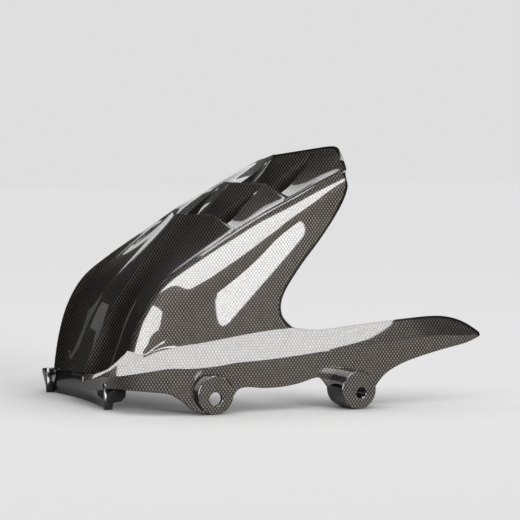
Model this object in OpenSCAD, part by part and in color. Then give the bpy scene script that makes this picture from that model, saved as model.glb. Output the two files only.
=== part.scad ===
// Rear hugger mudguard with chain guard, one moulded shell, millimetres.
// X runs to the rear of the bike, Y to its right side, Z up. The chain side is the side with negative Y.
// The finished part's origin is in the middle of the front boss's bolt hole.
// The lists and distances below count from the ground, the wheel's mid plane and the foot of the spine,
// and the part is moved to its origin at the very end.

/* [Shell] */
// wall thickness of the moulding
wall = 3; // [2.4:0.2:3.6]
// distance of each shoulder crest from the mid plane at the top
half_width = 91; // [86:1:96]
// how far the side wall stands outside the shoulder crest
side_out = 11; // [8:1:14]
// depth of the plain side wall on the side away from the chain
far_depth = 46; // [38:1:56]

/* [Centre plates] */
// height of each plate's rear crest over the shoulder line
plate_rise = 19; // [14:1:23]
// depth of the channel just inside the shoulder crest
inner_drop = 4; // [2:0.5:6]
// half width of the flat top of the spine at its widest
spine_half = 18; // [12:1:22]
// depth of the wedge shaped gills at their open end
gill_depth = 8; // [5:0.5:9]
// distance of the gill tip from the mid plane
gill_tip_y = 43; // [40:1:46]
// how far the crests sweep back from the mid plane outward
crest_sweep = 14; // [8:1:18]
// how far the rear end of the last plate sweeps back on the chain side
tail_sweep = 34; // [28:1:38]

/* [Chain guard] */
// how far the guard reaches behind the notch
guard_length = 173; // [160:1:185]
// how far the skirt stands outside the side wall
skirt_out = 38; // [34:1:42]

/* [Bosses] */
// outside radius of both bosses
boss_r = 17.6; // [16.5:0.1:18.4]
// wall of the hollow bosses
boss_wall = 3; // [2.4:0.2:3.6]
// thickness of the boss face that is bolted
boss_face = 4; // [3:0.5:5]
// distance of the front boss from the origin, to the rear
front_boss_x = 74; // [72:0.5:76]
// distance of the front boss face from the mid plane
front_boss_y = 151; // [149:0.5:153]
// diameter of the hole in the front boss
front_hole_d = 12; // [8:0.5:14]
// distance of the rear boss from the origin, to the rear
rear_boss_x = 207; // [205:0.5:209]
// distance of the rear boss face from the mid plane
rear_boss_y = 173; // [170:0.5:176]
// diameter of the hole in the rear boss
rear_hole_d = 9.2; // [7:0.2:12]

/* [Front lip] */
// half length of the front lip
lip_half = 75; // [70:1:78]
// height of the upright front face of the lip
lip_h = 8.5; // [6:0.5:10]

/* [Hidden] */

// shoulder line: step, X, Z, share of the half width
shoulder = [
    [0, 9, 22, 0.86], [1, 13, 40, 0.91], [2, 19, 62, 0.95], [3, 28, 85, 0.985],
    [4, 45, 111, 1], [5, 75, 132.3, 1], [6, 104, 150.3, 1], [7, 129, 165, 1],
    [8, 150, 176.7, 1], [9, 176, 189, 1], [10, 206, 204, 1], [11, 236, 217, 1],
    [12, 266, 229, 1]];
// rise of the spine and of the open face beside it, lower part of the first plate
front_rise = [
    [0, 8, -5], [1, 5, -8], [2, 2.5, -10], [3, 0, -10], [4, 0, -7], [5, 6, 1],
    [5.9, 13.5, 8.5], [6.42, 19, 13]];
spine_share = [
    [0, 0.66], [1, 0.9], [2, 1], [3, 1], [4, 0.9], [5, 0.5], [5.8, 0.22], [6.42, 0.08]];
// top edge of the belt along the side wall: row share, X, Z
belt_top = [
    [0, 42, 54.5], [0.15, 62, 57], [0.3, 82, 59.5], [0.5, 106, 62.5],
    [0.8, 145, 67.5], [1, 176, 70]];
// rear edge of the side wall from the shoulder down to the notch
rear_edge = [
    [0, 237, 196], [0.16, 229, 178], [0.38, 205, 147], [0.52, 191, 133],
    [0.68, 174, 112], [0.79, 165, 98], [0.87, 163, 86.5], [0.93, 166.5, 77.5], [1, 176, 70]];
// top edge of the chain guard: X, Y, Z
guard_top = [
    [176, -102, 70], [193, -110, 68], [209, -115, 69], [232, -120, 72],
    [270, -130, 76], [307, -138, 79], [322, -141.5, 77.5], [334, -145, 73.5],
    [342, -147.5, 69], [349, -149.5, 65]];
// crease between belt and skirt: X, Y, Z
belt_low = [
    [40, -126, 41], [68, -132, 41.5], [103, -136, 44.5], [128, -139, 46],
    [164, -141, 49], [190, -143, 52], [220, -145, 55], [249, -147, 57.5],
    [277, -148, 60], [305, -149.5, 61.5], [322, -150, 60.5], [336, -150.5, 60], [350, -151, 60.5]];
// lower edge of the skirt, round both bosses and out to the tip: X, Y, Z
skirt_low = [
    [36, -135, 20], [43, -138, 17], [48, -142, 11], [54, -146.5, 5],
    [62, -149.5, 2.2], [72, -150, 1.4], [82, -148, 2.8], [90, -145, 7.5],
    [94.5, -144, 14], [99, -144, 20], [109, -145, 22], [124, -145.5, 20.5],
    [141, -146.5, 20.5], [160, -147.5, 23], [176, -148.5, 27.5], [183, -149, 27.5],
    [188, -149.5, 21], [194, -150, 11], [203, -150.5, 3.5], [212, -151, 1.6],
    [222, -151, 3.2], [230, -151, 8.3], [236, -151, 15.5], [242, -151, 23.5],
    [251, -151, 31], [265, -151, 37.5], [285, -151, 43], [312, -151, 49],
    [338, -151, 54], [349, -151, 56.5]];
// crease and lower edge round the front, from the spine to the chain side corner
front_crease = [[0, 2.5, -12.5, 19], [0.25, 4, -50, 27], [0.5, 5, -80, 31], [0.75, 14, -106, 35.5], [1, 40, -126, 41]];
front_low = [[0, 3.5, -12.5, 13.5], [0.25, 1.5, -50, 15], [0.5, -1, -80, 20], [0.75, 7, -113, 21.5], [1, 36, -135, 20]];

// smooth curve through a list of points, looked up by the first number
function place_in(p, x, i = 0) = (i >= len(p) - 2 || x < p[i + 1][0]) ? i : place_in(p, x, i + 1);
function slope_at(p, i) = let (a = max(0, i - 1), b = min(len(p) - 1, i + 1)) (p[b] - p[a]) / (p[b][0] - p[a][0]);
function along(p, x) = let (i = place_in(p, x), w = p[i + 1][0] - p[i][0], t = (x - p[i][0]) / w)
    p[i] * (2 * t ^ 3 - 3 * t ^ 2 + 1) + slope_at(p, i) * (w * (t ^ 3 - 2 * t ^ 2 + t))
    + p[i + 1] * (3 * t ^ 2 - 2 * t ^ 3) + slope_at(p, i + 1) * (w * (t ^ 3 - t ^ 2));
function mix(a, b, t) = a + (b - a) * t;
function unit(v) = v / max(norm(v), 1e-9);
function ramp(a, b, x) = min(1, max(0, (x - a) / (b - a)));
function soft(t) = t * t * (3 - 2 * t);

// rows of the shell, from the front foot to the rear end: step on the shoulder line, rise share, gill share
crest1 = 6.42;
crest2 = 8.72;
tail = 10.32;
function plate_rows(a, b) = [
    [a + 0.22, -0.04, 1], [a + 0.5, -0.02, 1],
    for (k = [1 : 5]) [mix(a + 0.5, b, k / 5), mix(-0.02, 1, k / 5), max(0, 1 - k / 4.2)]];
rows = concat(
    [for (k = [0 : 13]) [mix(0, crest1, (k / 13) ^ 0.93), 0, 0]],
    plate_rows(crest1, crest2),
    plate_rows(crest2, tail));
row_n = len(rows) - 1;
front_rows = 13;

// columns across the shell: each side has the same distances from the mid plane
// the wedge share sets how much of the plate's rise is left at that distance
function spine_y(v) = spine_half * (v <= crest1 ? along(spine_share, v)[1] : 1);
function plate_spine(g) = spine_half * (0.06 + 0.84 * g);

// distances from the mid plane of the columns, from the spine outward
function col_y(v, g, plate) = plate == 0
    ? let (s = spine_y(v)) [s, s + (38 - s) * 0.3, 31, 39, 44, 55, 68, 81]
    : let (s = plate_spine(g), t = gill_tip_y)
      [s, mix(t - 2, 20, g), mix(t, 37, g), mix(t + 2, 54, g), mix(t + 5, 59, g), 63, 72, 81];

// rise of the far shoulder toward the tail: step, millimetres
far_up = [[0, 0], [5.5, 0], [6.4, 0.1], [7.3, 1.2], [8.7, 2.2], [9.66, 2.9], [10.1, 4.3], [10.4, 5.2]];
function up_at(v, s) = s > 0 ? along(far_up, v)[1] : 0;

// rise over the shoulder line of the same columns
function dome(y, a, m, j, f = 43) = y < f ? mix(a, m, y / f) : mix(m, j, ((y - f) / (89 - f)) ^ 1.15);
function col_h(v, rise, g, plate, s) = let (
        y = col_y(v, g, plate), u = up_at(v, s), j = u - inner_drop * (1 - u / 6), k = plate_rise / 19,
        h = plate == 0 ? along(front_rise, v) : plate == 1 ? [0, 19 * rise, 11.8 * rise]
            : [0, 22 * rise, (s < 0 ? 17.2 : 11) * rise],
        f = plate == 2 ? mix(43, s < 0 ? 66 : 52, max(0, rise)) : 43,
        a = h[1] > 0 ? h[1] * k : h[1], m = h[2] > 0 ? h[2] * k : h[2],
        d = plate == 0 ? 0 : gill_depth * g)
    plate == 0
    ? [a, mix(a, m, 0.55), mix(a, m, 0.86), m, for (n = [4 : 7]) dome(y[n], a, m, j)]
    : [a, dome(y[1], a, m, j, f), dome(y[2], a, m, j, f) - d, for (n = [3 : 7]) dome(y[n], a, m, j, f)];

// which plate a row belongs to
function plate_of(r) = r <= front_rows ? 0 : r <= front_rows + 7 ? 1 : 2;

// how far a row is swept back at distance y, in steps of the shoulder line
function swept(r, v, y) =
    let (e = plate_of(r) == 2 ? soft(ramp(crest2 + 0.4, tail, v)) : 0,
         full = plate_of(r) == 0 ? crest_sweep * soft(ramp(3.2, crest1, v))
             : plate_of(r) == 1 ? crest_sweep
             : mix(crest_sweep, y < 0 ? tail_sweep : 0.85 * tail_sweep, e),
         reach = mix(44, 66, e))
    (full * ramp(0, reach, abs(y)) - e * (y < 0 ? 10 * ramp(63, 86, -y) + 13 * ramp(88, 104, -y)
        : 5 * ramp(66, 88, y) + 9 * ramp(88, 104, y))
        - (1 - e) * 0.45 * full * ramp(44, 88, abs(y))) / 29;

// a point at step u of the shoulder line, raised by h, at distance y
function lift(u, y, h) =
    let (p = along(shoulder, u), d = unit(slope_2(u)))
    [p[1] - d[1] * h, y, p[2] + d[0] * h];
function slope_2(u) = let (a = along(shoulder, max(0, u - 0.05)), b = along(shoulder, u + 0.05)) [b[1] - a[1], b[2] - a[2]];

// the front foot of the chain side is cut off along the belt
cut = [[0, 0], [18, 0.2], [30, 0.45], [45, 0.95], [60, 1.3], [78, 1.52], [92, 1.64], [120, 1.72]];
function step_of(r, y) = let (v = rows[r][0])
    (y < 0 && r < 6) ? mix(along(cut, -y)[1], rows[6][0], (v / rows[6][0])) : v;

// band that rounds the shoulder crest over to the side wall: outward share, share of its depth
band = [[0, 0], [0.31, 0.05], [0.59, 0.19], [0.81, 0.41], [0.95, 0.69], [1, 1]];
// depth of that band below the crest: step, millimetres
band_depth = [
    [0, 12], [1.6, 14], [2.2, 22], [3, 31], [4, 37], [5.5, 37], [6.5, 33], [7.5, 27],
    [8.5, 22], [10.4, 15.5]];
band_n = len(band) - 1;
far_n = 2;
side_n = 8;

function crown(r, s) = let (pl = plate_of(r), g = rows[r][2])
    [for (k = [0 : 7]) let (
        v0 = rows[r][0], y0 = col_y(v0, g, pl)[k],
        v = step_of(r, s * y0), w = along(shoulder, v)[3], y = (y0 > 62 ? w * half_width / 91 : 1) * y0,
        h = col_h(v, rows[r][1], g, pl, s)[k])
        lift(v + swept(r, v0, s * y), s * y, h)];
function shoulder_band(r, s) =
    [for (b = band) let (v0 = rows[r][0], v = step_of(r, s * 92), w = along(shoulder, v)[3])
        let (y = w * half_width + side_out * b[0], u = up_at(v, s))
        lift(v + swept(r, v0, s * y), s * y,
            u - b[1] * (s < 0 ? along(band_depth, v)[1] : 20 + u - 4.5 * ramp(9, tail, v)))];
function far_wall(r) = let (e = shoulder_band(r, 1)[band_n])
    [for (k = [far_n : -1 : 1]) let (v = rows[r][0],
        q = lift(v + swept(r, v, 100), e[1] - 1.5 * k / far_n, -20 - (far_depth - 20) * k / far_n
            * mix(0.35, 1, soft(ramp(0, 4, v)))))
        q];
function side_wall(r) = let (
        a = shoulder_band(r, -1)[band_n], t = r / row_n, bt = along(belt_top, t),
        b = [bt[1], guard_top[0][1], bt[2]],
        e0 = [rear_edge[0][1], 0, rear_edge[0][2]], e1 = [rear_edge[8][1], 0, rear_edge[8][2]],
        e = soft(ramp(0.45, 1, t)))
    [for (k = [1 : side_n]) let (f = r == row_n ? rear_edge[side_at[k]][0] : mix(k / side_n, rear_edge[side_at[k]][0], e),
        q = along(rear_edge, f), bend = [q[1], 0, q[2]] - mix(e0, e1, f))
        mix(a, b, f) + bend * e];
side_at = [0, 1, 2, 3, 4, 5, 6, 7, 8];

// one whole row from the far edge to the belt
function reversed(v) = [for (i = [len(v) - 1 : -1 : 0]) v[i]];
function row_points(r) = concat(far_wall(r), reversed(shoulder_band(r, 1)), reversed(crown(r, 1)),
    crown(r, -1), shoulder_band(r, -1), side_wall(r));
sheet = [for (r = [0 : row_n]) row_points(r)];
col_n = len(sheet[0]) - 1;
spine_col = far_n + band_n + 1 + 8;

// the belt and skirt hang on the lower edge of the sheet and run on as the chain guard
guard_n = 22;
function guard_x(k) = k <= 14 ? mix(176, 251, k / 14) : mix(251, 349, (k - 14) / (guard_n - 14));
function stretch(p) = p[0] > 176 ? [176 + (p[0] - 176) * guard_length / 173, p[1], p[2]] : p;
function out_by(p) = [p[0], p[1] < -103 ? -103 + (p[1] + 103) * skirt_out / 38 : p[1], p[2]];
front_n = col_n - spine_col;
hang_n = front_n + row_n + guard_n;
function hang_top(m) = m <= front_n ? sheet[0][spine_col + m]
    : m <= front_n + row_n ? sheet[m - front_n][col_n]
    : stretch(out_by(along(guard_top, guard_x(m - front_n - row_n))));
function tail3(p) = [p[1], p[2], p[3]];
function hang_crease(m) = m <= front_n ? out_by(tail3(along(front_crease, m / front_n)))
    : stretch(out_by(along(belt_low, hang_x(m))));
function hang_low(m) = m <= front_n ? out_by(tail3(along(front_low, m / front_n)))
    : stretch(out_by(along(skirt_low, hang_x(m))));
function hang_x(m) = m <= front_n + row_n ? mix(mix(38, 176, (m - front_n) / row_n), hang_top(m)[0], 0.6)
    : guard_x(m - front_n - row_n);
belt_steps = [0.3, 0.65, 0.9];
foot_steps = [0.25, 0.48, 0.7];
function hang_line(m) = let (a = hang_top(m), c = hang_crease(m), d = hang_low(m), e = ramp(1, 8, m))
    concat([for (n = [0 : 2]) mix(a, c, mix(foot_steps[n], belt_steps[n], e))], [mix(mix(a, c, mix(1, 0.97, e)), d, 0.04 * e)],
        [for (t = [mix(0.35, 0.16, e), 0.6, 1]) mix(c, d, t)]);
hang = [for (m = [0 : hang_n]) concat([hang_top(m)], hang_line(m))];
drop_n = len(hang[0]) - 1;

// direction away from the wheel at each point
function face_dir(g, i, j) = let (
        a = g[max(0, i - 1)][j], b = g[min(len(g) - 1, i + 1)][j],
        c = g[i][max(0, j - 1)], d = g[i][min(len(g[0]) - 1, j + 1)])
    unit(cross(d - c, b - a));
function sheet_dir(i, j) = face_dir(sheet, i, j);
function hang_dir(m, k) = face_dir(hang, m, k);
function shared(i, j) = i == 0 && j >= spine_col ? j - spine_col : j == col_n ? front_n + i : -1;
function dir_a(i, j) = let (m = shared(i, j)) unit(sheet_dir(i, j) + (m >= 0 ? hang_dir(m, 0) : [0, 0, 0]));
function dir_b(m, k) = hang_dir(m, k);

// all points: sheet first, then the hanging part without the line it shares with the sheet
sheet_outer = [for (i = [0 : row_n]) for (j = [0 : col_n]) sheet[i][j]];
sheet_inner = [for (i = [0 : row_n]) for (j = [0 : col_n]) sheet[i][j] - wall * dir_a(i, j)];
last_shared = front_n + row_n;
hang_outer = [for (m = [0 : hang_n]) for (k = [(m <= last_shared ? 1 : 0) : drop_n]) hang[m][k]];
hang_inner = [for (m = [0 : hang_n]) for (k = [(m <= last_shared ? 1 : 0) : drop_n]) hang[m][k] - wall * dir_b(m, k)];
shell_points = concat(sheet_outer, hang_outer, sheet_inner, hang_inner);
half_count = len(sheet_outer) + len(hang_outer);

function at_a(i, j) = i * (col_n + 1) + j;
function at_b(m, k) = (m <= last_shared)
    ? (k == 0 ? (m <= front_n ? at_a(0, spine_col + m) : at_a(m - front_n, col_n))
              : len(sheet_outer) + m * drop_n + k - 1)
    : len(sheet_outer) + (last_shared + 1) * drop_n + (m - last_shared - 1) * (drop_n + 1) + k;

function two(a, b, c, d) = [[a, b, c], [a, c, d]];
quads = concat(
    [for (i = [0 : row_n - 1]) for (j = [0 : col_n - 1]) [at_a(i, j), at_a(i + 1, j), at_a(i + 1, j + 1), at_a(i, j + 1)]],
    [for (m = [0 : hang_n - 1]) for (k = [0 : drop_n - 1]) [at_b(m, k), at_b(m + 1, k), at_b(m + 1, k + 1), at_b(m, k + 1)]]);
edge_loop = concat(
    [for (i = [0 : row_n]) at_a(i, 0)],
    [for (j = [1 : col_n]) at_a(row_n, j)],
    [for (m = [last_shared + 1 : hang_n]) at_b(m, 0)],
    [for (k = [1 : drop_n]) at_b(hang_n, k)],
    [for (m = [hang_n - 1 : -1 : 0]) at_b(m, drop_n)],
    [for (k = [drop_n - 1 : -1 : 0]) at_b(0, k)],
    [for (j = [spine_col - 1 : -1 : 1]) at_a(0, j)]);
edge_n = len(edge_loop);
outer_faces = [for (q = quads) for (t = two(q[0], q[1], q[2], q[3])) t];
inner_faces = [for (t = outer_faces) [t[0] + half_count, t[2] + half_count, t[1] + half_count]];
rim_faces = [for (n = [0 : edge_n - 1]) let (a = edge_loop[n], b = edge_loop[(n + 1) % edge_n])
    for (t = two(b, a, a + half_count, b + half_count)) t];

module shell() {
    polyhedron(points = shell_points, faces = concat(outer_faces, inner_faces, rim_faces));
}

// hollow boss on the skirt, its face towards the viewer of the chain side
module boss_out(x, z, y, back) { translate([x, -y, z]) rotate([-90, 0, 0]) cylinder(h = y - back, r = boss_r, $fn = 72); }
module boss_in(x, z, y) {
    translate([x, -y + boss_face, z]) rotate([-90, 0, 0]) cylinder(h = y - 100, r = boss_r - boss_wall, $fn = 72);
}
module bore(x, z, y, d) { translate([x, -y - 5, z]) rotate([-90, 0, 0]) cylinder(h = boss_face + 12, d = d, $fn = 48); }

// front lip: a bar under the foot of the shell, its front hollowed out in plan
lip_steps = 10;
function lip_x(y) = 2.5 + 7.5 * (1 - (y / 75) ^ 2) + 3 * y / 75;
function lip_section(y) = let (m = 1 - (y / 75) ^ 2, x = lip_x(y), c = 12 + 3 * m, z = 0.4 * (1 - m), h = 21.5 + 4 * m)
    [[x, z], [x - 1, lip_h], [c - 4, h], [c + 1, h + 0.5], [x + 4, lip_h - 1], [x + 3.6, z]];
lip_points = [for (k = [0 : lip_steps]) let (y = mix(-lip_half, lip_half, k / lip_steps))
    for (q = lip_section(y)) [q[0], y, q[1]]];
module lip() {
    polyhedron(points = lip_points, faces = concat(
        [[for (n = [0 : 5]) n], [for (n = [5 : -1 : 0]) lip_steps * 6 + n]],
        [for (k = [0 : lip_steps - 1]) for (n = [0 : 5]) let (a = k * 6 + n, b = k * 6 + (n + 1) % 6)
            for (t = two(b, a, a + 6, b + 6)) t]));
}
// upright tab at the chain side end of the lip
module near_tab() {
    translate([0, -lip_half - 1.2, 0]) rotate([-90, 0, 0]) linear_extrude(height = 3.4)
        polygon([[-1.5, 0], [6, 0], [7, -6], [15, -7], [19, -11], [20, -24], [-2.5, -24]]);
}
// short wing at the other end, its lower edge rising outward
module far_wing() {
    translate([-0.5, 0, 0]) rotate([90, 0, 90]) linear_extrude(height = 14)
        polygon([[lip_half - 1.8, 0], [lip_half + 1, 0], [lip_half + 3, 4], [lip_half + 11, 17], [lip_half + 10.5, 21.5],
            [lip_half - 1.8, 24]]);
}

module hugger_moulding() {
    translate([-front_boss_x, front_boss_y - boss_face / 2, 3.5 - boss_r])
    color([0.07, 0.07, 0.065])
    difference() {
        union() {
            shell();
            lip();
            near_tab();
            far_wing();
            boss_out(front_boss_x, boss_r, front_boss_y, 140.2);
            boss_out(rear_boss_x, boss_r, rear_boss_y, 148.3);
        }
        boss_in(front_boss_x, boss_r, front_boss_y);
        boss_in(rear_boss_x, boss_r, rear_boss_y);
        bore(front_boss_x, boss_r - 3.5, front_boss_y, front_hole_d);
        bore(rear_boss_x + 2.2, boss_r - 2.6, rear_boss_y, rear_hole_d);
    }
}

hugger_moulding();
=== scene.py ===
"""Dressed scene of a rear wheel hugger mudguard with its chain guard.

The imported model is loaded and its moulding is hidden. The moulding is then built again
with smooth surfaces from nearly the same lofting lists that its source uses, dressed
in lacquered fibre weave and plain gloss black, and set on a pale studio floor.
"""

import logging
import math
from dataclasses import dataclass, field
from enum import Enum

import bmesh
import bpy
import numpy as np
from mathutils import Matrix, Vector
from mathutils.kdtree import KDTree


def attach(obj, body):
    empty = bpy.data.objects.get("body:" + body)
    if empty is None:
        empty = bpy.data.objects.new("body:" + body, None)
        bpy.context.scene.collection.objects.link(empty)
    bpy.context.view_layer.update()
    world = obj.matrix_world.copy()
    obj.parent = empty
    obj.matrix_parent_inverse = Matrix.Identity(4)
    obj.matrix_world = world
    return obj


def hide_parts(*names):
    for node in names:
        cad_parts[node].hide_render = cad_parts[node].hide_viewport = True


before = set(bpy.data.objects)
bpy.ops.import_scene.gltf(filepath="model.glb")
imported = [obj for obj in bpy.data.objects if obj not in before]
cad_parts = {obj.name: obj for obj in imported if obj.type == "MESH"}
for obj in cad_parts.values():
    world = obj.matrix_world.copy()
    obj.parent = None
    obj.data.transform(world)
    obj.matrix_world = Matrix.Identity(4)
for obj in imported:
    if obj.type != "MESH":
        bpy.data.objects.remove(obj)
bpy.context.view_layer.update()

LOG = logging.getLogger("hugger")

MM = 0.001
ORIGIN = np.array((74.0, -149.0, 14.1))
GROUND_Z = -ORIGIN[2] * MM
# how far the photograph is turned away from a straight view at the chain side
QUARTER_DEG = 26.5


def to_part(points: np.ndarray) -> np.ndarray:
    """Moves points from the lofting frame to the part's frame.

    Args:
        points: rows of X, Y, Z in millimetres from the ground, the mid plane and the foot of the spine.

    Returns:
        The same points in metres from the middle of the front boss's bolt hole.
    """
    return (np.asarray(points, float) - ORIGIN) * MM


def ramp(low: float, high: float, value: float) -> float:
    """Returns how far value has come from low to high, kept between 0 and 1."""
    return min(1.0, max(0.0, (value - low) / (high - low)))


def soft(share: float) -> float:
    """Returns share eased in and out."""
    return share * share * (3 - 2 * share)


def mix(first: np.ndarray, second: np.ndarray, share: float) -> np.ndarray:
    """Returns the value between first and second at share."""
    return first + (second - first) * share


class Curve:
    """Smooth curve through rows of numbers that is looked up by their first number."""

    def __init__(self, rows: list) -> None:
        """Keeps the rows.

        Args:
            rows: lists of equal length, in rising order of their first number.
        """
        self.rows = np.array(rows, float)

    def _slope(self, index: int) -> np.ndarray:
        """Returns the curve's slope at one of its rows."""
        low, high = max(0, index - 1), min(len(self.rows) - 1, index + 1)
        return (self.rows[high] - self.rows[low]) / (self.rows[high][0] - self.rows[low][0])

    def at(self, place: float) -> np.ndarray:
        """Reads the curve.

        Args:
            place: where to read it, in units of the first number.

        Returns:
            The whole row at that place.
        """
        index = 0
        while index < len(self.rows) - 2 and place >= self.rows[index + 1][0]:
            index += 1
        first, second = self.rows[index], self.rows[index + 1]
        width = second[0] - first[0]
        t = (place - first[0]) / width
        return (
            first * (2 * t**3 - 3 * t**2 + 1)
            + self._slope(index) * (width * (t**3 - 2 * t**2 + t))
            + second * (3 * t**2 - 2 * t**3)
            + self._slope(index + 1) * (width * (t**3 - t**2))
        )


class Edge(Enum):
    """How sharp a line of the moulding stays, as a subdivision crease."""

    ROUND = 0.5
    FIRM = 0.75
    CRISP = 1.0


class Region(Enum):
    """Which form of the moulding a face belongs to."""

    CROWN = 0
    PANEL = 1
    BELT = 2
    SKIRT = 3


class Slot(Enum):
    """Which finish a face of the moulding takes."""

    WEAVE = 0
    GLOSS = 1
    INSIDE = 2


@dataclass
class ShellSizes:
    """Sizes and lofting lists of the shell, in millimetres, nearly the same as in the part's source."""

    wall: float = 3.0
    half_width: float = 91.0
    # the half width that the distances of the crown's columns are given for
    list_half: float = 91.0
    side_out: float = 11.0
    far_depth: float = 46.0
    far_band: float = 20.0
    # half widths of a cross section's flat part and of its whole dome
    flat_half: float = 43.0
    dome_half: float = 89.0
    # the length of one step of the shoulder line
    step_length: float = 29.0
    inner_drop: float = 4.0
    spine_half: float = 18.0
    gill_depth: float = 8.0
    gill_tip: float = 43.0
    # the nominal width of the strips along rim and crests
    edge_strip: float = 0.05
    crest_sweep: float = 14.0
    tail_sweep: float = 34.0
    crest1: float = 6.42
    crest2: float = 8.72
    tail: float = 10.32
    # rows up to the first crest, from crest to crest, and cut off along the belt at the foot
    front_rows: int = 13
    plate_rows: int = 7
    cut_rows: int = 6
    # columns of half the crown, of the side wall and of the far wall, and stations of the guard
    crown_n: int = 8
    side_n: int = 8
    far_n: int = 2
    guard_n: int = 22
    # where the belt starts, the guard starts, bends and ends along X, and its stations up to the bend
    belt_x: float = 38.0
    guard_x: float = 176.0
    bend_x: float = 251.0
    tip_x: float = 349.0
    bend_n: int = 14
    # an outer edge that turns by more than crest_deg gets a strip, and shading breaks above smooth_deg
    crest_deg: float = 12.0
    smooth_deg: float = 50.0
    # X, Z and radius of the round openings behind the bosses, and where they begin and end along Y
    openings: tuple = ((74.0, 17.6, 14.6), (207.0, 17.6, 14.6))
    opening_front: float = -153.0
    opening_back: float = -128.0
    shoulder: Curve = field(default_factory=lambda: Curve([
        [0, 9, 22, 0.86], [1, 13, 40, 0.91], [2, 19, 62, 0.95], [3, 28, 85, 0.985],
        [4, 45, 111, 1], [5, 75, 132.3, 1], [6, 104, 150.3, 1], [7, 129, 165, 1],
        [8, 150, 176.7, 1], [9, 176, 189, 1], [10, 206, 204, 1], [11, 236, 217, 1],
        [12, 266, 229, 1]]))
    front_rise: Curve = field(default_factory=lambda: Curve([
        [0, 8, -5], [1, 5, -8], [2, 2.5, -10], [3, 0, -10], [4, 0, -7], [5, 6, 1],
        [5.9, 13.5, 8.5], [6.42, 19, 13]]))
    spine_share: Curve = field(default_factory=lambda: Curve([
        [0, 0.66], [1, 0.9], [2, 1], [3, 1], [4, 0.9], [5, 0.5], [5.8, 0.22], [6.42, 0.08]]))
    belt_top: Curve = field(default_factory=lambda: Curve([
        [0, 42, 54.5], [0.15, 62, 57], [0.3, 82, 59.5], [0.5, 106, 62.5],
        [0.8, 145, 67.5], [1, 176, 70]]))
    rear_edge: Curve = field(default_factory=lambda: Curve([
        [0, 237, 196], [0.16, 229, 178], [0.38, 205, 147], [0.52, 191, 133],
        [0.68, 174, 112], [0.79, 165, 98], [0.87, 163, 86.5], [0.93, 166.5, 77.5], [1, 176, 70]]))
    guard_top: Curve = field(default_factory=lambda: Curve([
        [176, -102, 70], [193, -110, 68], [209, -115, 69], [232, -120, 72],
        [270, -130, 76], [307, -138, 79], [322, -141.5, 77.5], [334, -145, 73.5],
        [342, -147.5, 68.5], [349, -150, 62.8]]))
    belt_low: Curve = field(default_factory=lambda: Curve([
        [40, -127, 41], [68, -133.5, 41.5], [103, -138, 44.5], [128, -141, 46],
        [164, -143, 49], [190, -145, 52], [220, -147, 55], [249, -148.5, 57.5],
        [277, -149.5, 60], [305, -150, 61.5], [322, -150.3, 60.5], [336, -150.5, 60], [350, -151, 60.5]]))
    skirt_low: Curve = field(default_factory=lambda: Curve([
        [36, -135, 20], [43, -138, 17], [48, -142, 11], [54, -146.5, 5],
        [62, -149.5, 2.2], [72, -150, 1.4], [82, -148, 2.8], [90, -145, 7.5],
        [94.5, -143, 14], [99, -142, 20], [109, -141.5, 22], [124, -142.5, 20.5],
        [141, -143.5, 20.5], [160, -144.5, 23], [176, -145.5, 27.5], [183, -146, 27.5],
        [188, -146.5, 21], [194, -147, 11], [203, -147.5, 3.5], [212, -148, 1.6],
        [222, -148.5, 3.2], [230, -149, 8.3], [236, -149.5, 15.5], [242, -150, 23.5],
        [251, -150.3, 31], [265, -151, 37.5], [285, -151, 43], [312, -151, 49],
        [338, -151, 54], [349, -151, 59]]))
    front_crease: Curve = field(default_factory=lambda: Curve([
        [0, 2.5, -12.5, 19], [0.25, 2, -53, 27], [0.5, 0.5, -88, 31], [0.75, 11, -112, 35.5], [1, 40, -127, 41]]))
    front_low: Curve = field(default_factory=lambda: Curve([
        [0, 3.5, -12.5, 13.5], [0.25, 1.5, -50, 15], [0.5, -1, -80, 20], [0.75, 7, -113, 21.5], [1, 36, -135, 20]]))
    cut: Curve = field(default_factory=lambda: Curve([
        [0, 0], [18, 0.2], [30, 0.45], [45, 0.95], [60, 1.3], [78, 1.52], [92, 1.64], [120, 1.72]]))
    far_up: Curve = field(default_factory=lambda: Curve([
        [0, 0], [5.5, 0], [6.4, 0.1], [7.3, 1.2], [8.7, 2.2], [9.66, 2.9], [10.1, 4.3], [10.4, 5.2]]))
    band: tuple = ((0, 0), (0.31, 0.05), (0.59, 0.19), (0.81, 0.41), (0.95, 0.69), (1, 1))
    band_depth: Curve = field(default_factory=lambda: Curve([
        [0, 12], [1.6, 14], [2.2, 22], [3, 31], [4, 37], [5.5, 37], [6.5, 33], [7.5, 27],
        [8.5, 22], [10.4, 15.5]]))


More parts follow.
